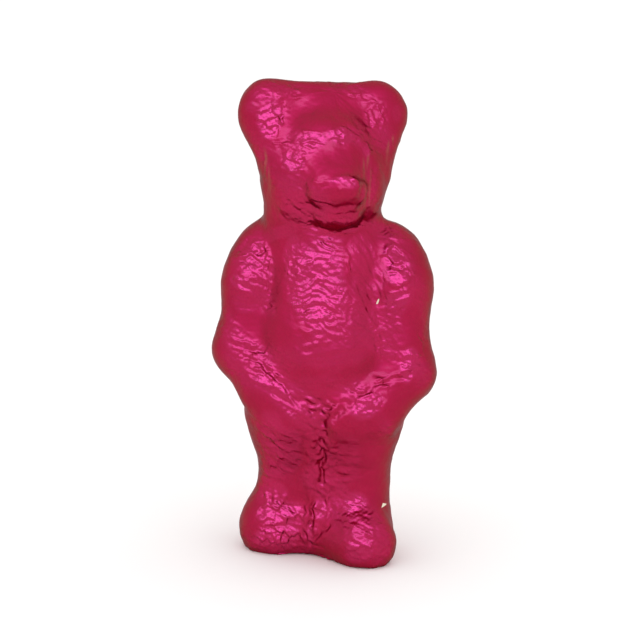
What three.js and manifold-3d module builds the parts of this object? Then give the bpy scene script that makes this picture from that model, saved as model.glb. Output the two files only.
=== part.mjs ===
// A moulded chocolate teddy bear, wrapped in tight coloured foil, standing on its two flat soles.
// Millimetres, +Z up. The bear faces -Y, so +X is the bear's own left side. The origin is on the
// floor, under the middle of the figure.
//
// The whole figure is one soft field. Every form (skull, muzzle, belly, limb, foot) is a ball, a
// tapering limb or a rounded slab, and it melts into the forms before it over its own blend
// distance, as the foil bridges the creases of the mould. The field's zero surface is meshed on a
// grid, evened out, and trimmed flat at the soles.
import * as THREE from "three";
import { mergeVertices } from "three/addons/utils/BufferGeometryUtils.js";
import Module from "manifold-3d";

// Driving dimensions.
const height = 120; // soles to the tops of the ears
const earSpan = 43.6; // across both ears
const shoulderSpan = 54; // across both shoulders
const elbowSpan = 57; // across both elbows
const footSpan = 41; // across both feet
const gridStep = 2; // size of the meshing grid's cells
const eveningRounds = 10; // how often the mesh is smoothed and put back on the surface

// How high the middles of the figure's parts lie above the soles.
const earLevel = 0.9265 * height;
const skullLevel = 0.82 * height;
const noseLevel = 0.796 * height;
const chinLevel = 0.74 * height;
const shoulderLevel = 0.588 * height;
const elbowLevel = 0.418 * height;
const handLevel = 0.31 * height;
const hipLevel = 0.304 * height;
const ankleLevel = 0.15 * height;
const footLevel = 0.05 * height;

// What differs between the bear's right side (-1, the viewer's left) and its left side (+1).
const stepForward = 7.5; // how far the left foot stands ahead of the right
const shoulderRise = 0.2; // how much higher the left shoulder is
const elbowDrop = 4; // how much lower the left elbow hangs
const headTurn = THREE.MathUtils.degToRad(20); // towards the bear's left
const headShift = -1.2; // towards the bear's right

const at = (x, y, z) => new THREE.Vector3(x, y, z);
const clamp = THREE.MathUtils.clamp;
const lerp = THREE.MathUtils.lerp;

// An ellipsoid: roughly the distance from its surface, negative inside.
function ball(centre, radii) {
  const scaled = at(0, 0, 0);
  return (p) => {
    scaled.subVectors(p, centre).divide(radii);
    const first = scaled.length();
    const second = scaled.divide(radii).length();
    return second > 1e-9 ? (first * (first - 1)) / second : -Math.min(radii.x, radii.y, radii.z);
  };
}

// A round bar that tapers from one end to the other. depthShare flattens it from front to back.
function limb(from, to, fromRadius, toRadius, depthShare = 1) {
  const axis = at(0, 0, 0).subVectors(to, from);
  const offset = at(0, 0, 0);
  return (p) => {
    const along = clamp(offset.subVectors(p, from).dot(axis) / axis.lengthSq(), 0, 1);
    offset.addScaledVector(axis, -along);
    offset.y /= depthShare;
    return offset.length() - lerp(fromRadius, toRadius, along);
  };
}

// A box with all its edges rounded.
function slab(centre, half, rounding) {
  const outside = at(0, 0, 0);
  return (p) => {
    outside.subVectors(p, centre);
    outside.set(
      Math.abs(outside.x) - half.x + rounding,
      Math.abs(outside.y) - half.y + rounding,
      Math.abs(outside.z) - half.z + rounding,
    );
    const inside = Math.min(Math.max(outside.x, outside.y, outside.z), 0);
    return outside.max(at(0, 0, 0)).length() + inside - rounding;
  };
}

// Joins two distances. Within the blend distance the crease between them fills with a soft fillet.
function melt(a, b, blend) {
  const overlap = Math.max(blend - Math.abs(a - b), 0) / blend;
  return Math.min(a, b) - (overlap * overlap * blend) / 4;
}

// Turns and shifts what a form sees, so that the form itself turns and shifts the other way.
function turned(form, angle, shift) {
  const seen = at(0, 0, 0);
  const upright = at(0, 0, 1);
  return (p) => {
    seen.copy(p).setX(p.x - shift);
    return form(seen.applyAxisAngle(upright, -angle));
  };
}

// The forms, in the order in which each melts into those before it over its blend distance.
const forms = [];
const addForm = (form, blend) => forms.push({ form, blend });

function addTrunk() {
  addForm(ball(at(-0.5, 1.5, shoulderLevel - 1.5), at(15, 14, 17)), 8); // chest
  addForm(ball(at(0, -1, elbowLevel + 3), at(17.5, 15.6, 18)), 8); // belly
  addForm(ball(at(0.4, 0, hipLevel + 1), at(17.6, 14.5, 14)), 7); // hips
  const yokeLevel = shoulderLevel + 5.3;
  addForm(limb(at(-14, 4, yokeLevel), at(14, 4, yokeLevel), 9.4, 9.2), 6);
  addForm(limb(at(-0.8, 2.5, yokeLevel), at(-2.2, 2, chinLevel), 13.2, 11.6, 0.95), 4.5); // neck
}

// A leg stands on a foot that splays outwards.
function addLeg(side) {
  const forward = side > 0 ? -stepForward / 2 : stepForward / 2;
  const hip = at(side * 9.9 + 0.6, -2.2, hipLevel);
  const ankle = at(side * 8.4 + 0.6, forward * 0.3 + 0.8, ankleLevel);
  const heel = at(side * 8.6, forward * 0.4 + 2, footLevel + 1);
  const toeRadius = side > 0 ? 8 : 8.7;
  const toe = at(side * (footSpan / 2 - toeRadius), forward - 6, 0.7 * toeRadius - 0.6);
  addForm(limb(hip, ankle, 10.1, 7.3, 1.18), 6);
  addForm(limb(ankle, heel, 7.6, 7.8, 1.1), 4);
  addForm(limb(heel, toe, 7.8, toeRadius), 7);
}

// The foil is drawn straight across the gap between the legs, and from foot to foot.
function addBridges() {
  addForm(limb(at(0.5, -6, hipLevel + 1), at(0, -2.6, footLevel + 3), 5.8, 5.2), 3);
  addForm(limb(at(-5, 0, footLevel - 1), at(5, -4, footLevel - 1), 6.5, 6.5), 6);
}

// An arm: a round shoulder, a broad upper arm down to the elbow, and a forearm that lies forward
// on the hip with its hand under the belly.
function addArm(side) {
  const rise = (shoulderRise / 2) * side;
  const drop = (elbowDrop / 2) * side;
  const shoulder = at(side * (shoulderSpan / 2 - 8.6), 2.2, shoulderLevel + rise - 0.3);
  const armTop = at(side * (shoulderSpan / 2 - 8.2) - 0.3, 0.8, shoulderLevel - 3);
  const elbow = at(side * (elbowSpan / 2 - 7.7), -2, elbowLevel - drop - 0.3);
  const wrist = at(side * 13.5, -8, elbowLevel - 8 - drop * 1.1);
  addForm(ball(shoulder, at(7.8, 9.5, 10.5)), 3);
  addForm(limb(armTop, elbow, 6.6, 6.8, 1.35), 5);
  addForm(limb(elbow, wrist, 6.8, 6.3), 4);
  addForm(limb(wrist, at(side * 6.5, -11.5, handLevel), 6.3, 4.6), 4);
}

// The head, with the foil stretched flat from ear to ear across its crown.
function addHead() {
  const earX = earSpan / 2 - 7.9;
  const crownLevel = earLevel + 0.5;
  const addTurned = (form, blend) => addForm(turned(form, headTurn, headShift), blend);
  const cheekLevel = noseLevel + 0.3;
  addTurned(ball(at(0, 2.5, skullLevel - 1), at(14, 12.5, 17)), 8); // skull
  addTurned(limb(at(-0.8, 0.5, chinLevel), at(0, 1, skullLevel - 0.5), 11.8, 16.2, 0.6), 6); // jaw
  addTurned(slab(at(-0.8, 3.2, crownLevel), at(earX + 4.8, 5, 7.85), 5), 4.5); // crown
  addTurned(ball(at(0, 0.3, skullLevel - 2.5), at(12.6, 12.8, 16.5)), 2); // face
  addTurned(ball(at(-1, -4.2, skullLevel + 7), at(10, 7.4, 6)), 3); // brow
  for (const side of [-1, 1])
    addTurned(ball(at(side * 5.8 - 0.3, -2.4, cheekLevel), at(8.8, 10.4, 11.6)), 2.5);
  // The muzzle is two pads side by side that run together under the nose.
  for (const side of [-1, 1]) {
    const root = at(side * 2.2 - 1.6, -4.8, noseLevel + 6.4);
    addTurned(limb(root, at(side * 2 - 0.4, -13.2, noseLevel - 0.8), 6.6, 5.2), 2);
  }
  addTurned(ball(at(1.8, -15.2, noseLevel - 1.1), at(4.8, 5, 4.3)), 1.4); // nose
  addTurned(ball(at(0.8, -10, chinLevel + 0.2), at(6.6, 6, 4.8)), 1.6); // chin
  // The front of an ear slopes down and forward into the temple, more so on the bear's right.
  for (const side of [-1, 1]) {
    const temple = at(side * (earX - 3.8), side < 0 ? -2.8 : -1.2, earLevel - 12);
    addTurned(limb(at(side * earX, 3.6, earLevel + 0.3), temple, 7.6, 5.6, 0.9), 3);
  }
}

addTrunk();
for (const side of [-1, 1]) addLeg(side);
addBridges();
for (const side of [-1, 1]) addArm(side);
addHead();

// The bear's field: negative inside the figure, zero on its skin.
function bearField(p) {
  let nearest = 1e3;
  for (const { form, blend } of forms) nearest = melt(nearest, form(p), blend);
  return nearest;
}

// The cells that the skin passes through each get one vertex, and each grid edge that crosses the
// skin gets a quad between the four cells round it.
function meshOfField(field, low, high, step) {
  const counts = high.clone().sub(low).divideScalar(step).ceil().addScalar(1);
  const corner = (i, j, k) => (k * counts.y + j) * counts.x + i;
  const values = new Float32Array(counts.x * counts.y * counts.z);
  const place = at(0, 0, 0);
  for (let k = 0; k < counts.z; k++)
    for (let j = 0; j < counts.y; j++)
      for (let i = 0; i < counts.x; i++) {
        place.set(i, j, k).multiplyScalar(step).add(low);
        values[corner(i, j, k)] = field(place);
      }
  const steps = [at(1, 0, 0), at(0, 1, 0), at(0, 0, 1)];
  const vertexOf = new Map();
  const positions = [];
  const indices = [];

  // The vertex of a cell is the mean of the points where the skin cuts the cell's edges.
  function cellVertex(i, j, k) {
    const key = corner(i, j, k);
    if (vertexOf.has(key)) return vertexOf.get(key);
    const sum = at(0, 0, 0);
    let cuts = 0;
    steps.forEach((direction, axis) => {
      const across = steps[(axis + 1) % 3];
      const upward = steps[(axis + 2) % 3];
      for (const a of [0, 1])
        for (const b of [0, 1]) {
          const start = at(i, j, k).addScaledVector(across, a).addScaledVector(upward, b);
          const end = start.clone().add(direction);
          const from = values[corner(start.x, start.y, start.z)];
          const to = values[corner(end.x, end.y, end.z)];
          if (from < 0 === to < 0) continue;
          sum.add(start.lerp(end, from / (from - to)));
          cuts++;
        }
    });
    sum.divideScalar(cuts).multiplyScalar(step).add(low);
    positions.push(sum);
    vertexOf.set(key, positions.length - 1);
    return positions.length - 1;
  }

  for (let k = 1; k < counts.z - 1; k++)
    for (let j = 1; j < counts.y - 1; j++)
      for (let i = 1; i < counts.x - 1; i++)
        steps.forEach((direction, axis) => {
          const here = values[corner(i, j, k)];
          const there = values[corner(i + direction.x, j + direction.y, k + direction.z)];
          if (here < 0 === there < 0) return;
          const u = steps[(axis + 1) % 3];
          const v = steps[(axis + 2) % 3];
          const quad = [
            cellVertex(i, j, k),
            cellVertex(i - u.x, j - u.y, k - u.z),
            cellVertex(i - u.x - v.x, j - u.y - v.y, k - u.z - v.z),
            cellVertex(i - v.x, j - v.y, k - v.z),
          ];
          if (here >= 0) quad.reverse();
          indices.push(quad[0], quad[1], quad[2], quad[0], quad[2], quad[3]);
        });
  return { positions, indices };
}

// Moves a point straight onto the skin, down the field's slope.
function putOnSkin(point, field) {
  const small = 0.05;
  const probe = at(0, 0, 0);
  const slope = at(0, 0, 0);
  for (const axis of ["x", "y", "z"]) {
    probe.copy(point)[axis] += small;
    const ahead = field(probe);
    probe.copy(point)[axis] -= small;
    slope[axis] = (ahead - field(probe)) / (2 * small);
  }
  point.addScaledVector(slope, -field(point) / Math.max(slope.lengthSq(), 0.1));
}

// Slides each vertex towards the middle of its neighbours, then back onto the skin.
function evenOut({ positions, indices }, field, rounds) {
  const neighbours = positions.map(() => new Set());
  for (let t = 0; t < indices.length; t += 3)
    for (const [a, b] of [
      [0, 1],
      [1, 2],
      [2, 0],
    ]) {
      neighbours[indices[t + a]].add(indices[t + b]);
      neighbours[indices[t + b]].add(indices[t + a]);
    }
  for (let round = 0; round < rounds; round++) {
    const middles = positions.map((_, i) => {
      const middle = at(0, 0, 0);
      for (const n of neighbours[i]) middle.add(positions[n]);
      return middle.divideScalar(neighbours[i].size);
    });
    positions.forEach((point, i) => {
      point.lerp(middles[i], 0.5);
      putOnSkin(point, field);
    });
  }
}

const wasm = await Module();
wasm.setup();

// A geometry as a solid whose shared vertices are merged.
function solidOf(geometry) {
  const bare = geometry.clone();
  bare.deleteAttribute("normal");
  bare.deleteAttribute("uv");
  const merged = mergeVertices(bare, 1e-4);
  return new wasm.Manifold(
    new wasm.Mesh({
      numProp: 3,
      vertProperties: merged.attributes.position.array,
      triVerts: new Uint32Array(merged.index.array),
    }),
  );
}

function geometryOf(solid) {
  const { vertProperties, triVerts } = solid.getMesh();
  const geometry = new THREE.BufferGeometry();
  geometry.setAttribute("position", new THREE.BufferAttribute(vertProperties, 3));
  geometry.setIndex(new THREE.BufferAttribute(triVerts, 1));
  geometry.computeVertexNormals();
  return geometry;
}

// The figure's skin, closed below the floor, cut off level with it and centred over the origin.
function bearGeometry() {
  const margin = 6.5;
  const low = at(-elbowSpan / 2 - margin, -elbowSpan / 2, -2 * margin);
  const high = at(elbowSpan / 2 + margin, elbowSpan / 2, height + margin);
  const net = meshOfField(bearField, low, high, gridStep);
  evenOut(net, bearField, eveningRounds);
  // A vertex that almost touches the floor is set level with it, so that the cut leaves no slivers.
  for (const point of net.positions) if (Math.abs(point.z) < gridStep / 4) point.z = 0;
  const skin = new THREE.BufferGeometry().setFromPoints(net.positions);
  skin.setIndex(net.indices);
  const floor = new THREE.BoxGeometry(4 * elbowSpan, 4 * elbowSpan, height);
  floor.translate(0, 0, -height / 2);
  const geometry = geometryOf(solidOf(skin).subtract(solidOf(floor)));
  geometry.computeBoundingBox();
  const middle = geometry.boundingBox.getCenter(at(0, 0, 0));
  return geometry.translate(-middle.x, -middle.y, 0);
}

const foil = new THREE.MeshStandardMaterial({ color: 0xb0224c, metalness: 1, roughness: 0.35 });
const bear = new THREE.Mesh(bearGeometry(), foil);
bear.name = "bear";

const group = new THREE.Group();
group.add(bear);

export default group;
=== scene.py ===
import math
import bmesh
import bpy
import numpy as np
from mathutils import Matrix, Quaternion, Vector


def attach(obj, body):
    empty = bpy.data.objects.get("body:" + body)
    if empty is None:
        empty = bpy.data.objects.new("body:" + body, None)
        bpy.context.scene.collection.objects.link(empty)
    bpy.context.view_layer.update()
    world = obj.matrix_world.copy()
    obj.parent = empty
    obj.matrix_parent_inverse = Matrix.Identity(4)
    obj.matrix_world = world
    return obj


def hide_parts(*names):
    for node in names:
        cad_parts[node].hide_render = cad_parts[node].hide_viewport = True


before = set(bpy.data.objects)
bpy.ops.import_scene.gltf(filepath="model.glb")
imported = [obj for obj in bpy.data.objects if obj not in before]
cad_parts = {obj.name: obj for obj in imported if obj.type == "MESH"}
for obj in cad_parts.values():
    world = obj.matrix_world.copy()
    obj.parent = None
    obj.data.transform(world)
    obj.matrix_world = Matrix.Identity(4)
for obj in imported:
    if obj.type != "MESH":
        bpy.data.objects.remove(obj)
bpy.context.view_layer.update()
scene = bpy.context.scene
mm = 0.001


def fromHex(value):  # an sRGB hex colour as linear light
    parts = [int(value[i:i + 2], 16) / 255 for i in (1, 3, 5)]
    return [c / 12.92 if c <= 0.04045 else ((c + 0.055) / 1.055) ** 2.4 for c in parts] + [1]


# The camera stands where the photograph was taken from: in front, a little above and to the bear's left.
shot = {
    "target": (0, 2.1, 58),  # mm, the middle of the figure
    "distance": 450,
    "azimuth": 7,
    "elevation": 10,
    "roll": 1.55,
    "lens": 99.32,
    "aside": -1.55,  # mm, how far the aim lies beside and above the target
    "above": 1.58,
}


def makeCamera():
    a, e = math.radians(shot["azimuth"]), math.radians(shot["elevation"])
    back = Vector((math.sin(a) * math.cos(e), -math.cos(a) * math.cos(e), math.sin(e)))
    target = Vector(shot["target"]) * mm
    place = target + back * shot["distance"] * mm
    roll = Quaternion((0, 0, 1), math.radians(shot["roll"]))
    turn = (-back).to_track_quat("-Z", "Y") @ roll
    aim = target + turn @ Vector((shot["aside"], shot["above"], 0)) * mm
    lens = bpy.data.cameras.new("camera")
    lens.lens = shot["lens"]
    lens.clip_start, lens.clip_end = 0.01, 20
    made = bpy.data.objects.new("camera", lens)
    made.location = place
    made.rotation_mode = "QUATERNION"
    made.rotation_quaternion = (aim - place).to_track_quat("-Z", "Y") @ roll
    scene.collection.objects.link(made)
    scene.camera = made
    bpy.context.view_layer.update()
    return made


camera = makeCamera()
print("camera ready")


def seenFromCamera(points):  # where the camera sees each point, in pixels of the 640 x 640 frame
    toCamera = np.array(camera.matrix_world.inverted())
    seen = points @ toCamera[:3, :3].T + toCamera[:3, 3]
    focal = 640 * camera.data.lens / camera.data.sensor_width
    across, up = seen[:, 0] / -seen[:, 2], seen[:, 1] / -seen[:, 2]
    return 320 + focal * np.stack([across, -up], 1)


# The foil skin: the chocolate's own shape, divided finely and evened out, then wrinkled.
foilSkin = {
    "cuts": 2,  # how finely the CAD's triangles are divided
    "evenRounds": 10,  # how long their facets are smoothed away
    "fineFrom": 0.56,  # how squarely the skin has to face the camera to be divided once more
    "fineRounds": 8,
    "nickReach": 8,  # pixels round a nick that are divided too
    "pixel": 0.25,  # mm on the bear for one pixel of the frame
    "snout": (344, 192, 26, 24, 0),  # where foil bridges the nose's corners, in pixels as for a patch below
    "snoutRounds": 90,
    "standOff": 0.15,  # mm, how far the wrapped foil stands off the chocolate
    "soles": 0.01,  # mm, what lies lower is a sole and stays flat
    "rounding": 0.25,  # how far the foil's thickness rounds its creases, 1 for all the way
}


def smooth(low, high, value):  # 0 up to low, 1 from high, and soft between
    t = np.clip((value - low) / (high - low), 0, 1)
    return t * t * (3 - 2 * t)


def beside(values, edges):  # for each point, the sum of its neighbours' values
    a, b = edges[:, 0], edges[:, 1]
    return np.bincount(a, values[b], len(values)) + np.bincount(b, values[a], len(values))


def evenedOut(points, edges, rounds, share=1, back=-0.52):  # a step out follows each step in
    count = np.bincount(edges.ravel(), minlength=len(points))[:, None]
    for step in range(rounds):
        middle = np.stack([beside(points[:, i], edges) for i in range(3)], 1) / count
        points = points + (middle - points) * share * (0.5 if step % 2 == 0 else back)
    return points


def meshFrom(shape, name):
    bmesh.ops.triangulate(shape, faces=shape.faces)
    mesh = bpy.data.meshes.new(name)
    shape.to_mesh(mesh)
    shape.free()
    mesh.shade_smooth()
    return mesh


def startSkin():
    shape = bmesh.new()
    shape.from_mesh(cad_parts["bear"].data)
    bmesh.ops.remove_doubles(shape, verts=shape.verts, dist=1e-6)
    bmesh.ops.subdivide_edges(shape, edges=shape.edges, cuts=foilSkin["cuts"], use_grid_fill=True, smooth=1)
    return meshFrom(shape, "foilStart")


def getPoints(mesh):
    points = np.empty(len(mesh.vertices) * 3)
    mesh.vertices.foreach_get("co", points)
    return points.reshape(-1, 3)


def setPoints(mesh, points):
    mesh.vertices.foreach_set("co", points.ravel())
    mesh.update()


def getNormals(mesh):
    normals = np.empty(len(mesh.vertices) * 3)
    mesh.vertex_normals.foreach_get("vector", normals)
    return normals.reshape(-1, 3)


def getEdges(mesh):
    edges = np.empty(len(mesh.edges) * 2, int)
    mesh.edges.foreach_get("vertices", edges)
    return edges.reshape(-1, 2)


def facing(points, normals):  # how squarely each point of the skin faces the camera, 1 when straight on
    toCamera = np.array(camera.matrix_world.translation) - points
    return (normals * toCamera).sum(1) / np.linalg.norm(toCamera, axis=1)


def moveSkin(mesh, points):  # moves the skin, but keeps its soles on the floor
    soles = getPoints(mesh)[:, 2] < foilSkin["soles"] * mm
    points[:, 2] = np.where(soles, 0, np.maximum(points[:, 2], 0))
    setPoints(mesh, points)


def evenSkin(mesh, rounds):
    moveSkin(mesh, evenedOut(getPoints(mesh), getEdges(mesh), rounds))


def fineFront(mesh):  # the side that the camera sees gets triangles of 0.3 mm, for its wrinkles
    points = getPoints(mesh)
    square, spots = facing(points, getNormals(mesh)), seenFromCamera(points)
    near = square > foilSkin["fineFrom"]
    for corners in nicks:
        near |= (square > 0) & (np.linalg.norm(spots - np.mean(corners, 0), axis=1) < foilSkin["nickReach"])
    shape = bmesh.new()
    shape.from_mesh(mesh)
    edges = [edge for edge in shape.edges if near[edge.verts[0].index] and near[edge.verts[1].index]]
    bmesh.ops.subdivide_edges(shape, edges=edges, cuts=1, use_grid_fill=True)
    return meshFrom(shape, "foilSkin")


def wobble(places, size, seed, waves=10):  # a smooth random field, about -1 to 1, in swells about size wide
    random = np.random.default_rng(seed)
    ways = random.normal(size=(waves, places.shape[1]))
    ways /= np.linalg.norm(ways, axis=1)[:, None] * size * random.uniform(0.9, 2.2, (waves, 1))
    swells = np.sin(places @ ways.T * math.pi + random.uniform(0, 2 * math.pi, waves))
    return swells.sum(1) / math.sqrt(waves)


def nearestCentre(grid, seed):  # offsets from the nearest of scattered centres, one in each unit square
    table = np.random.default_rng(seed).uniform(size=(64, 64, 2))
    home = np.floor(grid).astype(int)
    nearest = np.full(grid.shape, 9.0)
    for i in (-1, 0, 1):
        for j in (-1, 0, 1):
            corner = home + (i, j)
            gap = grid - corner - table[corner[:, 0] % 64, corner[:, 1] % 64]
            nearest = np.where(((gap ** 2).sum(1) < (nearest ** 2).sum(1))[:, None], gap, nearest)
    return nearest


def crumpled(flat, long, wide, turn, lean, lift, seed):  # flat facets that meet in straight creases, in mm
    a = math.radians(turn)
    along = np.array((math.cos(a) / long, math.sin(a) / long))
    down = np.array((-math.sin(a) / wide, math.cos(a) / wide))
    grid = np.stack([flat @ along, flat @ down], 1)
    bend = np.stack([wobble(grid, 1.7, seed + 2), wobble(grid, 1.7, seed + 3)], 1)
    grid = grid + 0.1 * bend
    first, second = nearestCentre(grid, seed), nearestCentre(grid, seed + 1)
    # The difference of two such squares is flat within a facet, and 1.25 makes its usual slope the lean.
    height = ((first ** 2).sum(1) - (second ** 2).sum(1)) * wide * 1.25 * math.tan(math.radians(lean))
    below = first[:, 1] * wide * math.cos(a) + first[:, 0] * long * math.sin(a)
    return height + below * math.tan(math.radians(lift))


# The chest's ruffles, in pixels as the camera sees them unless it says otherwise.
ruffles = {
    "place": (318, 283, 28, 50, 0),  # x, y, half width, half height and turn
    "height": 0.32,  # mm
    "facets": (3.2, 1.4, 8, 8, 0),  # mm and degrees, as for a patch below
    "spacing": 7.2,
    "zigzag": 17,  # from one bend to the next
    "leaf": (19, 15),  # they come in leaves of this size that differ in their slant
    "rise": 0.72,  # the share of a ruffle that rises, before the rest tucks in sharply
}


def ribs(spots):  # each ruffle rises outwards as it comes down, then tucks in
    uneven = np.stack([wobble(spots, 9, 75), wobble(spots, 9, 76)], 1)
    grid = (spots + 2.5 * uneven) / ruffles["leaf"]
    gap = nearestCentre(grid, 77)
    own = np.sin((grid - gap) @ (7.3, 12.9))  # a value of its own for each leaf
    x, y = spots[:, 0] - ruffles["place"][0], spots[:, 1]
    zigzag = np.abs((x / ruffles["zigzag"] + 0.4 * wobble(spots, 20, 73)) % 2 - 1)
    sway = 0.4 * wobble(spots, 16, 71) + 0.25 * wobble(spots * (1, 0.6), 8, 72)
    slant = 0.35 * own + 0.7 * own * gap[:, 0]
    step = ((y - 0.25 * np.abs(x)) / ruffles["spacing"] + 0.8 * zigzag + sway + slant) % 1
    rise = ruffles["rise"]
    ruffle = np.where(step < rise, step / rise, (1 - step) / (1 - rise))
    strength = 0.35 + 0.65 * smooth(-0.8, 0.4, wobble(spots, 10, 74))
    return (ruffle - 0.4) * strength


def blot(spots, x, y, wide, high, turn, seed):  # 1 inside an uneven patch round (x, y), 0 outside
    a = math.radians(turn)
    dx, dy = spots[:, 0] - x, spots[:, 1] - y
    u = (dx * math.cos(a) + dy * math.sin(a)) / wide
    v = (dy * math.cos(a) - dx * math.sin(a)) / high
    return 1 - smooth(0.75, 1.25, np.hypot(u, v) + 0.13 * wobble(spots, 9, seed))


def softenSnout(mesh):
    points = getPoints(mesh)
    share = blot(seenFromCamera(points), *foilSkin["snout"], 60)
    share *= smooth(0, 0.3, facing(points, getNormals(mesh)))
    setPoints(mesh, evenedOut(points, getEdges(mesh), foilSkin["snoutRounds"], share[:, None], 0.5))


# Where the foil is crumpled, by what the camera sees: x, y, half width, half height (pixels) and turn
# (degrees) of the place; length, width (mm) and turn of its facets; how far they lean and how far they
# face up (degrees); and how glossy they are, which also sets how much pink painted highlight they get.
patches = [
    (270, 120, 13, 19, 20, 2.6, 1.6, -50, 8, 9, 1),  # the ear on the left
    (252, 107, 7, 6, 0, 2.0, 1.2, 10, 7, 0, 0.4),
    (284, 142, 10, 6, -20, 3, 2, 0, 4, -12, 0.2),
    (366, 100, 9, 7, 0, 2.0, 1.0, 10, 8, -5, 0.3),  # the ear on the right
    (377, 115, 12, 14, 0, 4.0, 1.1, 80, 9, -6, 0.3),
    (396, 114, 5, 9, 0, 1.8, 0.9, 20, 8, 0, 0.4),
    (288, 93, 14, 5, 0, 4.0, 1.0, 20, 8, 4, 0.4),  # the crown's front edge
    (312, 140, 14, 8, 0, 2.6, 1.6, 30, 8, 6, 1),  # the brow
    (344, 136, 18, 8, 4, 3.2, 1.2, 55, 9, 6, 1),
    (366, 150, 4, 8, 0, 2.2, 1.2, 60, 8, 4, 0.7),
    (294, 162, 13, 10, 30, 2.4, 1.8, 20, 9, 8, 1),  # the cheek
    (343, 180, 13, 4, -4, 4.0, 1.4, -4, 4, 6, 1),
    (321, 184, 9, 7, 0, 3.0, 2.2, 0, 3, -10, 0.1),  # the nose's bridge
    (306, 202, 8, 7, 0, 1.8, 1.1, 30, 11, 0, 0.3),
    (292, 212, 16, 12, 35, 4.0, 1.1, 38, 9, 0, 0.5),  # the jaw line
    (343, 216, 14, 5, 0, 3.0, 0.9, 8, 8, 0, 0.4),  # the chin
    (379, 172, 7, 9, 0, 3.4, 1.0, 70, 8, 0, 0.4),
    (272, 190, 12, 28, 0, 6.0, 1.2, 84, 7, 0, 0.3),
    (366, 182, 8, 28, 0, 6.0, 1.1, 90, 8, 0, 0.3),
    (315, 226, 15, 8, 0, 2.0, 1.1, 20, 12, 8, 0.5),  # the pinched neck
    (346, 226, 18, 8, 0, 3.0, 1.0, 12, 8, 16, 0.6),
    (280, 233, 24, 7, -20, 4.5, 1.2, -22, 8, 0, 0.5),
    (385, 232, 22, 7, 22, 4.5, 1.2, 24, 7, 0, 0.4),
    (254, 257, 18, 18, 0, 3.6, 2.6, 60, 8, 9, 1),  # the shoulder on the left
    (241, 283, 11, 7, 35, 3.4, 1.8, 40, 8, 7, 1),
    (249, 300, 17, 13, 0, 3.6, 0.9, 2, 7, 0, 0.5),
    (397, 266, 14, 20, -12, 4.6, 2.8, 70, 7, 9, 1),  # the shoulder on the right
    (397, 299, 15, 9, -20, 4.2, 1.7, -20, 9, 9, 1),
    (409, 282, 8, 22, 0, 3.4, 1.1, 80, 8, 2, 0.6),
    (365, 275, 18, 42, -8, 4.6, 1.3, 58, 11, 0, 0.5),  # the chest beside the ruffles
    (293, 262, 9, 26, 0, 3.4, 1.2, 62, 10, 4, 0.8),
    (380, 325, 8, 34, 0, 3.6, 1.2, 75, 9, 0, 0.4),
    (330, 350, 36, 20, 0, 5.0, 1.7, -14, 6, 0, 0.5),  # the belly
    (313, 314, 16, 9, -15, 4.5, 2.4, -22, 8, 9, 1),
    (322, 385, 34, 12, 0, 5.0, 1.4, 12, 4, 0, 0.3),
    (234, 344, 9, 9, 0, 3.0, 1.0, 28, 8, 2, 0.5),  # the elbows
    (252, 352, 17, 9, 10, 4.0, 1.3, 22, 6, -7, 0.3),
    (411, 364, 12, 16, 10, 3.2, 2.0, -40, 8, 10, 1),
    (273, 385, 24, 10, 38, 4.8, 2.0, 42, 8, 7, 1),  # the forearms and hands
    (262, 366, 14, 6, 38, 3.4, 1.2, 42, 7, -8, 0.3),
    (367, 406, 18, 12, -22, 4.0, 2.4, -35, 8, 8, 1),
    (380, 386, 26, 7, -24, 4.0, 1.3, -28, 7, -8, 0.3),
    (324, 410, 25, 12, 0, 2.4, 1.2, 10, 14, -8, 0.1),  # where the hands meet
    (276, 450, 24, 34, 0, 3.4, 1.2, 42, 7, 3, 0.8),  # the leg on the left
    (345, 462, 18, 26, 0, 3.6, 1.2, 4, 6, 0, 0.4),
    (323, 455, 6, 36, 0, 2.2, 1.4, 45, 14, 2, 0.6),  # between the legs
    (275, 492, 12, 12, 0, 5.0, 1.5, 96, 8, 0, 0.7),  # the foot on the left
    (281, 513, 23, 14, 0, 3.2, 2.0, 70, 6, 10, 1),
    (277, 536, 22, 12, 0, 2.6, 1.7, 76, 6, 19, 1),
    (321, 509, 8, 12, 0, 3.0, 2.0, 70, 6, 10, 1),
    (310, 533, 4, 11, 0, 4, 2.0, 85, 8, 10, 1),
    (355, 505, 11, 13, 0, 2.6, 1.4, 30, 5, 5, 1),  # the foot on the right
    (360, 551, 14, 11, 0, 2.8, 1.7, 20, 7, 11, 1),
    (352, 530, 26, 14, 0, 4.0, 1.4, 30, 6, 0, 0.3),
]

# Where the foil lies smooth on the chocolate, as far as the camera sees: x, y, half width, half height, turn.
calm = [(325, 112, 44, 22, 0), (333, 166, 27, 20, 0), (345, 194, 15, 9, 0), (281, 290, 8, 42, 0),
        (368, 455, 20, 44, 0), (325, 375, 30, 10, 0), (412, 320, 10, 16, 0)]

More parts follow.
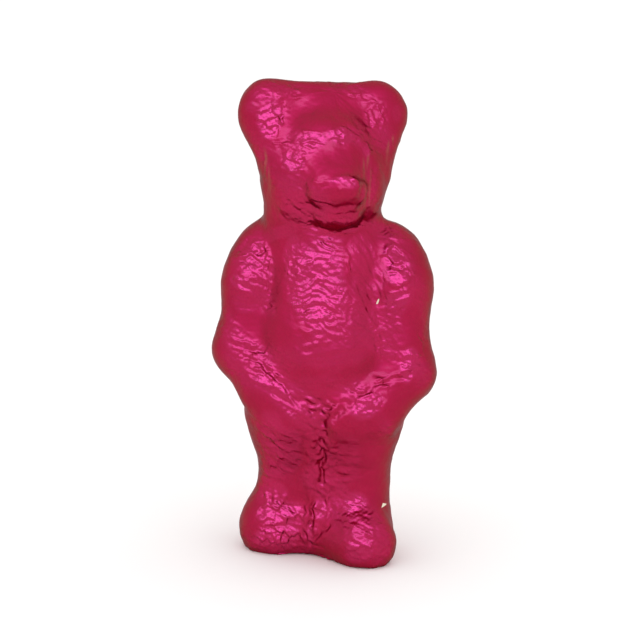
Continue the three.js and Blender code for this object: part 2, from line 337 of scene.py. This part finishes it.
# Single folds, by what the camera sees: kind, half width (mm), height (mm), then the points it runs through.
folds = [
    ("lap", 0.9, 0.3, [(360, 81), (361, 92), (360, 101)]),  # the crown
    ("ridge", 0.4, 0.3, [(345, 93), (353, 95), (361, 94)]),
    ("ridge", 0.4, 0.25, [(276, 93), (281, 96), (286, 97)]),
    ("ridge", 0.4, 0.25, [(287, 88), (292, 91), (299, 91)]),
    ("ridge", 0.35, 0.2, [(289, 95), (296, 98), (303, 96)]),
    ("lap", 1.2, -0.6, [(284, 102), (283, 116), (279, 128), (276, 139)]),  # beside the ear on the left
    ("lap", 0.8, 0.3, [(300, 133), (308, 131), (318, 132)]),  # the brow
    ("lap", 0.8, 0.3, [(330, 131), (340, 127), (352, 131), (360, 138)]),
    ("ridge", 0.5, 0.3, [(359, 139), (366, 147), (370, 156)]),
    ("ridge", 0.9, 0.35, [(329, 184), (337, 180), (347, 179), (356, 183)]),  # the nose
    ("crease", 0.35, 0.18, [(304, 194), (312, 199), (322, 204), (330, 205)]),  # the mouth
    ("crease", 0.4, 0.22, [(322, 206), (334, 207), (346, 206), (358, 204)]),
    ("ridge", 0.4, 0.25, [(333, 210), (345, 211), (356, 208)]),
    ("crease", 0.45, 0.3, [(357, 200), (359, 207), (356, 213)]),
    ("crease", 0.4, 0.25, [(372, 168), (376, 174), (380, 180)]),
    ("crease", 0.35, 0.2, [(378, 166), (382, 172), (386, 176)]),
    ("ridge", 0.4, 0.25, [(280, 205), (290, 212), (300, 219), (312, 223)]),  # the jaw line
    ("crease", 0.4, 0.25, [(284, 200), (294, 208), (304, 215), (314, 219)]),
    ("crease", 0.45, 0.2, [(326, 224), (338, 227), (350, 227), (364, 223)]),  # the collar
    ("crease", 0.5, 0.3, [(306, 220), (314, 226), (324, 229)]),
    ("ridge", 0.4, 0.2, [(330, 232), (342, 233), (356, 231)]),
    ("crease", 0.5, 0.45, [(256, 248), (259, 245), (264, 247), (264, 252)]),  # the shoulder on the left
    ("crease", 0.4, 0.35, [(261, 251), (260, 258)]),
    ("lap", 0.9, 0.5, [(270, 246), (271, 262), (270, 278), (268, 292)]),
    ("ridge", 0.4, 0.25, [(232, 276), (240, 281), (248, 289)]),
    ("lap", 0.9, -0.2, [(384, 250), (383, 272), (384, 292), (388, 306)]),  # the shoulder on the right
    ("ridge", 0.4, 0.35, [(347, 254), (348, 264), (349, 273)]),
    ("ridge", 0.5, 0.3, [(230, 337), (240, 342), (252, 346), (262, 345)]),  # the elbows and forearms
    ("crease", 0.5, 0.35, [(236, 356), (248, 358), (260, 363), (272, 375), (288, 390), (299, 405)]),
    ("crease", 0.5, 0.4, [(412, 374), (400, 378), (388, 382), (372, 387), (356, 398), (347, 408)]),
    ("ridge", 0.4, 0.25, [(372, 380), (388, 377), (400, 374), (416, 377)]),
    ("crease", 0.35, 0.25, [(418, 332), (424, 342), (429, 356)]),
    ("crease", 0.35, 0.2, [(425, 330), (430, 341), (433, 352)]),
    ("lap", 0.8, -0.4, [(385, 388), (384, 400), (381, 412)]),
    ("ridge", 0.5, 0.35, [(300, 329), (308, 332), (318, 331), (326, 327)]),  # the belly's top
    ("ridge", 0.5, 0.3, [(303, 349), (312, 345), (322, 343), (331, 341)]),
    ("ridge", 0.4, 0.15, [(296, 364), (306, 360), (316, 359)]),
    ("ridge", 0.35, 0.2, [(330, 384), (336, 380), (342, 383)]),
    ("crease", 0.9, 0.5, [(296, 396), (304, 406), (314, 414), (322, 421)]),  # the hands
    ("crease", 0.9, 0.5, [(353, 398), (344, 408), (334, 416), (326, 421)]),
    ("crease", 0.5, 0.45, [(300, 399), (312, 405), (323, 402)]),  # the pinched foil between the hands
    ("crease", 0.5, 0.45, [(305, 409), (316, 411), (328, 408), (339, 401)]),
    ("crease", 0.5, 0.4, [(327, 397), (336, 405), (346, 402)]),
    ("crease", 0.45, 0.4, [(311, 417), (321, 413), (332, 416)]),
    ("crease", 0.45, 0.35, [(309, 396), (318, 400), (322, 408), (320, 417)]),
    ("crease", 1.3, 1.1, [(323, 405), (323, 434), (321, 452), (322, 470), (320, 492)]),  # between the legs
    ("crease", 0.6, 0.5, [(320, 486), (314, 500), (310, 520), (309, 542)]),
    ("ridge", 0.5, 0.4, [(316, 438), (322, 446), (328, 440)]),
    ("ridge", 0.4, 0.35, [(316, 449), (321, 456), (327, 451)]),
    ("ridge", 0.5, 0.5, [(327, 460), (325, 474), (326, 488)]),
    ("ridge", 0.5, 0.5, [(329, 489), (327, 498), (328, 508)]),
    ("ridge", 0.4, 0.4, [(315, 462), (316, 474), (314, 486)]),
    ("lap", 0.9, 0.4, [(304, 503), (303, 520), (303, 534), (306, 545)]),  # the foil rib between the feet
    ("ridge", 0.6, 0.45, [(308, 500), (306, 516), (307, 530)]),
    ("crease", 0.5, 0.45, [(331, 524), (324, 529), (316, 537), (311, 543)]),  # the star at the soles
    ("crease", 0.4, 0.35, [(309, 543), (300, 541), (292, 543)]),
    ("crease", 0.4, 0.35, [(309, 543), (305, 533), (301, 527)]),
    ("crease", 0.4, 0.3, [(309, 543), (317, 546), (326, 547)]),
    ("ridge", 0.4, 0.3, [(309, 547), (309, 553)]),
    ("ridge", 0.4, 0.3, [(264, 434), (274, 440), (284, 449)]),  # the leg on the left
    ("ridge", 0.4, 0.3, [(268, 444), (278, 452), (286, 458)]),
    ("ridge", 0.4, 0.25, [(279, 466), (286, 469), (292, 474)]),
    ("ridge", 0.6, 0.35, [(266, 484), (268, 496), (266, 510)]),  # pleats on the foot on the left
    ("ridge", 0.6, 0.35, [(272, 483), (275, 495), (274, 506)]),
    ("ridge", 0.6, 0.35, [(279, 486), (283, 496), (284, 506)]),
    ("ridge", 0.6, 0.3, [(336, 470), (344, 472), (352, 471)]),
    ("ridge", 0.5, 0.25, [(335, 478), (344, 481), (353, 480)]),
]

# Where the lacquer has been nicked down to its pale primer: the corners, clockwise to the eye.
nicks = [
    [(374.8, 307), (377.4, 300.2), (380.2, 297.2), (378.2, 303.4)],
    [(380.4, 508.6), (382.4, 503), (387.2, 504)],
]

# Thin tan streaks on the sides, a painted reflection of tan surroundings: x, y, half width, half height, turn.
tanReflections = [(266, 182, 6, 32, 0), (366, 178, 5, 30, 0), (390, 152, 5, 16, 10), (429, 262, 2, 16, -12)]


def foldHeights(spots, kind, half, height, path):  # in mm, at each point
    total = np.zeros(len(spots))
    corners = np.array(path, float)
    reach = 14  # pixels, past which a fold has run out
    near = np.flatnonzero(((spots > corners.min(0) - reach) & (spots < corners.max(0) + reach)).all(1))
    here = spots[near]
    here = here + 1.2 * np.stack([wobble(here, 5, 11), wobble(here, 5, 12)], 1)  # an uneven run
    nearest = np.full(len(near), 1e9)
    side = np.zeros(len(near))
    run = np.zeros(len(near))
    lengths = np.linalg.norm(np.diff(corners, axis=0), axis=1)
    for i, (start, end) in enumerate(zip(corners[:-1], corners[1:])):
        way = end - start
        share = np.clip(((here - start) @ way) / (way @ way), 0, 1)
        gap = here - start - share[:, None] * way
        away = np.linalg.norm(gap, axis=1) * foilSkin["pixel"]
        closer = away < nearest
        nearest[closer] = away[closer]
        side[closer] = (way[0] * gap[closer, 1] - way[1] * gap[closer, 0]) / lengths[i] * foilSkin["pixel"]
        run[closer] = (lengths[:i].sum() + share[closer] * lengths[i]) / lengths.sum()
    taper = np.sqrt(np.clip(4 * run * (1 - run), 0, 1)) * 0.9 + 0.1
    taper *= 0.45 + 0.55 * smooth(-0.5, 0.4, wobble(here, 4, 13))  # an uneven height
    if kind == "lap":  # stands up sharply on one side and runs out slowly on the other
        rise = smooth(-0.35, 0.1, side)
        shape = rise * np.exp(-np.maximum(side, 0) / (2 * half)) * (nearest < 3 * half + 1)
        shape = shape * (1 - smooth(2 * half, 3 * half + 1, nearest))
    else:
        shape = np.exp(-(nearest / half) ** 2) - 0.35 * np.exp(-((nearest - 1.9 * half) / half) ** 2)
        if kind == "crease":
            shape = -shape
    total[near] = height * taper * shape
    return total


# Where the camera doesn't look the foil is pressed smooth, with long soft creases and a few crumples.
hiddenSide = {
    "creaseHeight": 0.5,  # mm
    "creaseSize": (1.8, 8),  # mm, round the figure and up
    "creaseGaps": 12,  # mm, how far apart the creased places lie
    "crumpleGaps": 14,
    "coarse": (3.4, 2.2, 30, 14, 4),  # facets, as for a patch
    "fine": (1.6, 1.2, 10, 12, 0),
}

# Wrinkles that lie everywhere: facets as for a patch, the last four only where the foil is drawn tight.
overall = {
    "swell": (6, 3.5, 20, 2.2, 0),
    "ripple": (2, 1.4, -20, 1.5, 0),
    "drawnGaps": 5,  # mm
    # How glossy drawn foil is, and how much pink painted highlight it gets.
    "drawnGlossAndHighlight": 0.65,
    "frontLong": (3.6, 1.0, 28, 10, 2),
    "frontShort": (1.6, 0.8, -40, 9, 2),
    "hiddenLong": (8, 2.4, 50, 8, 0),
    "hiddenShort": (3.4, 1.6, -30, 8, 0),
}


def patchRelief(spots, flat, front):  # heights in mm, and how crumpled the skin is, which also sets its pink painted highlight
    relief = np.zeros(len(spots))
    crumpleAndHighlight = np.zeros(len(spots))
    for number, (x, y, wide, high, turn, *facets, glossAndHighlight) in enumerate(patches):
        share = blot(spots, x, y, wide, high, turn, 100 + number) * front
        seen = share > 0
        coarse = crumpled(flat[seen], *facets, 200 + 10 * number)
        facets[:2] = 0.4 * facets[0], 0.4 * facets[1]
        fine = crumpled(flat[seen], *facets, 205 + 10 * number)
        relief[seen] += share[seen] * (coarse + 0.45 * fine)
        crumpleAndHighlight[seen] = np.maximum(crumpleAndHighlight[seen], share[seen] * glossAndHighlight)
    chest = blot(spots, *ruffles["place"], 90) * front
    relief += chest * (ruffles["height"] * ribs(spots) + crumpled(flat, *ruffles["facets"], 95))
    return relief, np.maximum(crumpleAndHighlight, chest)


def hiddenRelief(places, wrap):
    wave = np.abs(wobble(wrap / hiddenSide["creaseSize"], 1.0, 61, 14))
    creases = 1 - np.minimum(wave * 1.6, 1)
    creased = smooth(-0.7, 0.5, wobble(wrap, hiddenSide["creaseGaps"], 63))
    bent = smooth(-0.6, 0.6, wobble(places, hiddenSide["crumpleGaps"], 62))
    crumple = crumpled(wrap, *hiddenSide["coarse"], 700) + 0.6 * crumpled(wrap, *hiddenSide["fine"], 710)
    return hiddenSide["creaseHeight"] * (creases - 0.4) * creased + bent * crumple, bent


def nickShare(spots):  # past 1 inside a nick, and 0 from a pixel outside it
    share = np.zeros(len(spots))
    for corners in nicks:
        inside = np.full(len(spots), 9.0)
        for start, end in zip(corners, corners[1:] + corners[:1]):
            way = np.array(end) - start
            gap = spots - start
            inside = np.minimum(inside, (way[0] * gap[:, 1] - way[1] * gap[:, 0]) / np.hypot(*way))
        share = np.maximum(share, np.clip(1 + inside, 0, 2))
    return share


# How much painted tan reflection each point gets, in thin streaks up and down.
def tanReflectionShare(spots):
    share = np.zeros(len(spots))
    for number, place in enumerate(tanReflections):
        share = np.maximum(share, blot(spots, *place, 500 + number))
    return share * 0.7 * smooth(-0.3, 0.9, wobble(spots * (1, 0.08), 1.4, 510))


def wrinkle(mesh):
    points, normals, edges = getPoints(mesh), getNormals(mesh), getEdges(mesh)
    places, spots = points / mm, seenFromCamera(points)
    flat = spots * foilSkin["pixel"]  # mm across and down, as the camera sees them
    # The same for the whole figure: mm round a cylinder of 18 mm, and up.
    wrap = np.stack([np.arctan2(places[:, 0], places[:, 1]) * 18, places[:, 2]], 1)
    square = facing(points, normals)
    front = smooth(0, 0.3, square)  # 1 where the camera looks at the skin
    seen = front > 0.5
    hidden = 1 - smooth(-0.45, 0.1, square)  # 1 well out of the camera's sight
    relief, crumpleAndHighlight = patchRelief(spots, flat, front)
    for kind, half, height, path in folds:
        relief += foldHeights(spots, kind, half, height, path) * front
    behind, bent = hiddenRelief(places, wrap)
    relief += hidden * behind
    relief += crumpled(wrap, *overall["swell"], 800) + crumpled(wrap, *overall["ripple"], 810)
    still = np.zeros(len(points))
    for number, place in enumerate(calm):
        still = np.maximum(still, blot(spots, *place, 400 + number) * front)
    drawn = smooth(-0.9, 0.7, wobble(places, overall["drawnGaps"], 64)) * (1 - 0.85 * still)
    fine = crumpled(flat, *overall["frontLong"], 820) + crumpled(flat, *overall["frontShort"], 830)
    coarse = crumpled(wrap, *overall["hiddenLong"], 840) + crumpled(wrap, *overall["hiddenShort"], 850)
    relief += drawn * (front * fine + hidden * coarse)
    relief += foilSkin["standOff"]
    relief *= smooth(0.2, 1.6, places[:, 2])  # less and less towards the soles
    around = beside(relief, edges) / np.bincount(edges.ravel(), minlength=len(relief))
    relief += foilSkin["rounding"] * (around - relief)
    moveSkin(mesh, points + normals * relief[:, None] * mm)
    # Crumpled places get a pinker tint as a painted highlight, and the side streaks a tan painted reflection.
    crumpleAndHighlight = np.maximum(np.maximum(crumpleAndHighlight, hidden * bent), overall["drawnGlossAndHighlight"] * drawn)
    values = {"crumpleAndHighlight": crumpleAndHighlight, "nick": nickShare(spots) * seen, "tanReflection": tanReflectionShare(spots) * seen}
    for name, value in values.items():  # the material reads them
        mesh.attributes.new(name, "FLOAT", "POINT").data.foreach_set("value", value)
    mesh.shade_smooth()


startMesh = startSkin()
evenSkin(startMesh, foilSkin["evenRounds"])
skinMesh = fineFront(startMesh)
evenSkin(skinMesh, foilSkin["fineRounds"])
print("skin:", len(skinMesh.vertices), "points,", len(skinMesh.polygons), "triangles")
softenSnout(skinMesh)
wrinkle(skinMesh)
skin = bpy.data.objects.new("foil", skinMesh)
scene.collection.objects.link(skin)
print("skin wrinkled")


def addNode(tree, kind, settings=None, links=None):  # adds a node, sets its properties and joins its inputs
    node = tree.nodes.new(kind)
    for name, value in (settings or {}).items():
        if isinstance(name, str) and hasattr(node, name):
            setattr(node, name, value)
        else:
            node.inputs[name].default_value = value
    for name, source in (links or {}).items():
        tree.links.new(source, node.inputs[name])
    return node


# Aluminium foil 12 um thick, rolled bright and lacquered in translucent crimson: a metal whose colour
# comes from the lacquer. Pressed smooth it has a soft sheen, and crumpled it breaks into bright facets.
foil = {
    "smoothTint": "#a60a3a",
    # Pinker where crumpled, as a painted highlight.
    "crumpledHighlightTint": "#ae1a4c",
    "reflectedTanTint": "#a24e48",  # a painted reflection of tan surroundings, in thin streaks on the sides
    "edgeTint": "#7a3c3c",  # a dull tan where it is seen edge-on
    "primer": "#e6dcc4",
    "smoothRoughness": 0.48,
    "crumpledRoughness": 0.29,
    "lacquerGloss": 0.25,  # the coat is thin and partly rubbed dull
    "lacquerRoughness": 0.24,
    "clouds": 6.67,  # mm, how far apart the lacquer is thicker and thinner
    "cloudDepth": 0.12,
    "facet": 0.9,  # mm, the finest facets, drawn three times as coarse as they are so that they show
    "crease": 1.923,  # mm, the wandering creases
    "creaseHeight": 3.5,  # against that of the facets
    "relief": 0.1,  # mm
    "reliefSmooth": 0.2,  # how much of that shows where the foil is smooth, and where it is crumpled
    "reliefCrumpled": 0.6,
}


def lacqueredFoil():
    made = bpy.data.materials.new("lacqueredAluminiumFoil")
    made.use_nodes = True
    tree = made.node_tree
    shader = tree.nodes["Principled BSDF"]
    shader.inputs["Specular Tint"].default_value = fromHex(foil["edgeTint"])
    shader.inputs["Coat Weight"].default_value = foil["lacquerGloss"]
    shader.inputs["Coat Roughness"].default_value = foil["lacquerRoughness"]
    place = addNode(tree, "ShaderNodeTexCoord").outputs["Object"]
    crumpleAndHighlight = addNode(tree, "ShaderNodeAttribute", {"attribute_name": "crumpleAndHighlight"}).outputs["Fac"]
    nick = addNode(tree, "ShaderNodeAttribute", {"attribute_name": "nick"}).outputs["Fac"]
    tanReflection = addNode(tree, "ShaderNodeAttribute", {"attribute_name": "tanReflection"}).outputs["Fac"]
    bare = addNode(tree, "ShaderNodeMapRange", {"From Min": 0.95, "From Max": 1.15}, {"Value": nick})
    bare = bare.outputs["Result"]
    # The colour: crimson, pinker where crumpled as a painted highlight, tan in side streaks as a painted
    # reflection, and pale in the nicks, whose edge is sharp.
    tint = addNode(tree, "ShaderNodeMix", {"data_type": "RGBA"}, {"Factor": crumpleAndHighlight})
    tint.inputs["A"].default_value = fromHex(foil["smoothTint"])
    tint.inputs["B"].default_value = fromHex(foil["crumpledHighlightTint"])
    withTanReflection = addNode(tree, "ShaderNodeMix", {"data_type": "RGBA"},
                   {"Factor": tanReflection, "A": tint.outputs["Result"]})
    withTanReflection.inputs["B"].default_value = fromHex(foil["reflectedTanTint"])
    cloud = addNode(tree, "ShaderNodeTexNoise", {"Scale": 1 / (foil["clouds"] * mm), "Detail": 3},
                    {"Vector": place})
    patchy = addNode(tree, "ShaderNodeMapRange",
                     {"To Min": 1 - foil["cloudDepth"], "To Max": 1 + foil["cloudDepth"]},
                     {"Value": cloud.outputs["Fac"]})
    uneven = addNode(tree, "ShaderNodeHueSaturation", {},
                     {"Color": withTanReflection.outputs["Result"], "Value": patchy.outputs["Result"]})
    colour = addNode(tree, "ShaderNodeMix", {"data_type": "RGBA"},
                     {"Factor": bare, "A": uneven.outputs["Color"]})
    colour.inputs["B"].default_value = fromHex(foil["primer"])
    metal = addNode(tree, "ShaderNodeMapRange", {"To Min": 1, "To Max": 0}, {"Value": bare})
    rough = addNode(tree, "ShaderNodeMapRange",
                    {"To Min": foil["smoothRoughness"], "To Max": foil["crumpledRoughness"]}, {"Value": crumpleAndHighlight})
    tree.links.new(colour.outputs["Result"], shader.inputs["Base Color"])
    tree.links.new(metal.outputs["Result"], shader.inputs["Metallic"])
    tree.links.new(rough.outputs["Result"], shader.inputs["Roughness"])
    # Fine facets, and thin creases that wander between them.
    wander = addNode(tree, "ShaderNodeTexNoise",
                     {"Scale": 1 / (foil["crease"] * mm), "Detail": 2, "Distortion": 0.4}, {"Vector": place})
    middle = addNode(tree, "ShaderNodeMath", {"operation": "SUBTRACT", 1: 0.5}, {0: wander.outputs["Fac"]})
    creases = addNode(tree, "ShaderNodeMath", {"operation": "ABSOLUTE"}, {0: middle.outputs[0]})
    cells = addNode(tree, "ShaderNodeTexVoronoi",
                    {"feature": "DISTANCE_TO_EDGE", "Scale": 1 / (foil["facet"] * mm)}, {"Vector": place})
    height = addNode(tree, "ShaderNodeMath", {"operation": "MULTIPLY_ADD", 1: foil["creaseHeight"]},
                     {0: creases.outputs[0], 2: cells.outputs["Distance"]})
    amount = addNode(tree, "ShaderNodeMapRange",
                     {"To Min": foil["reliefSmooth"], "To Max": foil["reliefCrumpled"]}, {"Value": crumpleAndHighlight})
    bump = addNode(tree, "ShaderNodeBump", {"Distance": foil["relief"] * mm},
                   {"Height": height.outputs[0], "Strength": amount.outputs["Result"]})
    tree.links.new(bump.outputs["Normal"], shader.inputs["Normal"])
    return made


skin.data.materials.append(lacqueredFoil())
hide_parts("bear")
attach(skin, "root")

# The studio: a pale floor that curves up into a backdrop, one wide soft light and a plain white room.
studio = {
    "floor": "#fbfaf9",
    "paperRoughness": 0.9,
    "paperWidth": 5,  # m, as all that follows unless it says otherwise
    "paperFront": -2,
    "curveFrom": 0.6,
    "curve": 0.5,
    "paperHeight": 2,
    "room": 1.02,
    "keyPower": 3.8,
    "keyColour": "#a0dcff",
    "keyAim": 60,  # mm above the floor
    "keyElevation": 42,  # degrees
    "keyAzimuth": -4,
    "keySize": (0.9, 0.28),
    "keyDistance": 0.6,
    "topPower": 2.6,  # W, as the other is
    "topSize": 1.2,
    "topPlace": (0, -0.2, 1.2),
}


def makeBackdrop():
    sweep = bmesh.new()
    ends = ((studio["paperFront"], 0), (studio["curveFrom"], 0))
    edge = [sweep.verts.new((-studio["paperWidth"] / 2, y, z)) for y, z in ends]
    sweep.edges.new(edge)
    middle = (0, studio["curveFrom"], studio["curve"])
    profile = bmesh.ops.spin(sweep, geom=[edge[1]], cent=middle, axis=(1, 0, 0), dvec=(0, 0, 0),
                             angle=math.radians(90), steps=12)["geom_last"]
    last = [v for v in profile if isinstance(v, bmesh.types.BMVert)]
    top = bmesh.ops.extrude_vert_indiv(sweep, verts=last)["verts"]
    bmesh.ops.translate(sweep, verts=top, vec=(0, 0, studio["paperHeight"]))
    sheet = bmesh.ops.extrude_edge_only(sweep, edges=sweep.edges[:])["geom"]
    across = [v for v in sheet if isinstance(v, bmesh.types.BMVert)]
    bmesh.ops.translate(sweep, verts=across, vec=(studio["paperWidth"], 0, 0))
    bmesh.ops.recalc_face_normals(sweep, faces=sweep.faces)
    mesh = bpy.data.meshes.new("backdrop")
    sweep.to_mesh(mesh)
    sweep.free()
    mesh.shade_smooth()
    made = bpy.data.objects.new("backdrop", mesh)
    scene.collection.objects.link(made)
    paper = bpy.data.materials.new("mattPaper")  # uncoated, so it scatters light evenly and has no sheen
    paper.use_nodes = True
    paper.node_tree.nodes["Principled BSDF"].inputs["Base Color"].default_value = fromHex(studio["floor"])
    paper.node_tree.nodes["Principled BSDF"].inputs["Roughness"].default_value = studio["paperRoughness"]
    mesh.materials.append(paper)


def makeLights():
    world = bpy.data.worlds.new("room")
    world.use_nodes = True
    world.node_tree.nodes["Background"].inputs["Color"].default_value = (1, 1, 1, 1)
    world.node_tree.nodes["Background"].inputs["Strength"].default_value = studio["room"]
    scene.world = world
    light = bpy.data.lights.new("softbox", "AREA")
    light.shape = "RECTANGLE"
    light.size, light.size_y = studio["keySize"]
    light.energy = studio["keyPower"]
    light.color = fromHex(studio["keyColour"])[:3]
    a, e = math.radians(studio["keyAzimuth"]), math.radians(studio["keyElevation"])
    back = Vector((math.sin(a) * math.cos(e), -math.cos(a) * math.cos(e), math.sin(e)))
    key = bpy.data.objects.new("softbox", light)
    key.location = Vector((0, 0, studio["keyAim"] * mm)) + back * studio["keyDistance"]
    key.rotation_mode = "QUATERNION"
    key.rotation_quaternion = (-back).to_track_quat("-Z", "Y")
    key.visible_diffuse = False  # it only shows as a sheen, so the floor stays plain
    scene.collection.objects.link(key)
    light = bpy.data.lights.new("overhead", "AREA")
    light.size, light.energy = studio["topSize"], studio["topPower"]
    top = bpy.data.objects.new("overhead", light)
    top.location = studio["topPlace"]
    top.visible_glossy = False  # it keeps the paper white under the bear
    scene.collection.objects.link(top)


makeBackdrop()
makeLights()
scene.view_settings.view_transform = "Standard"
print("studio ready")
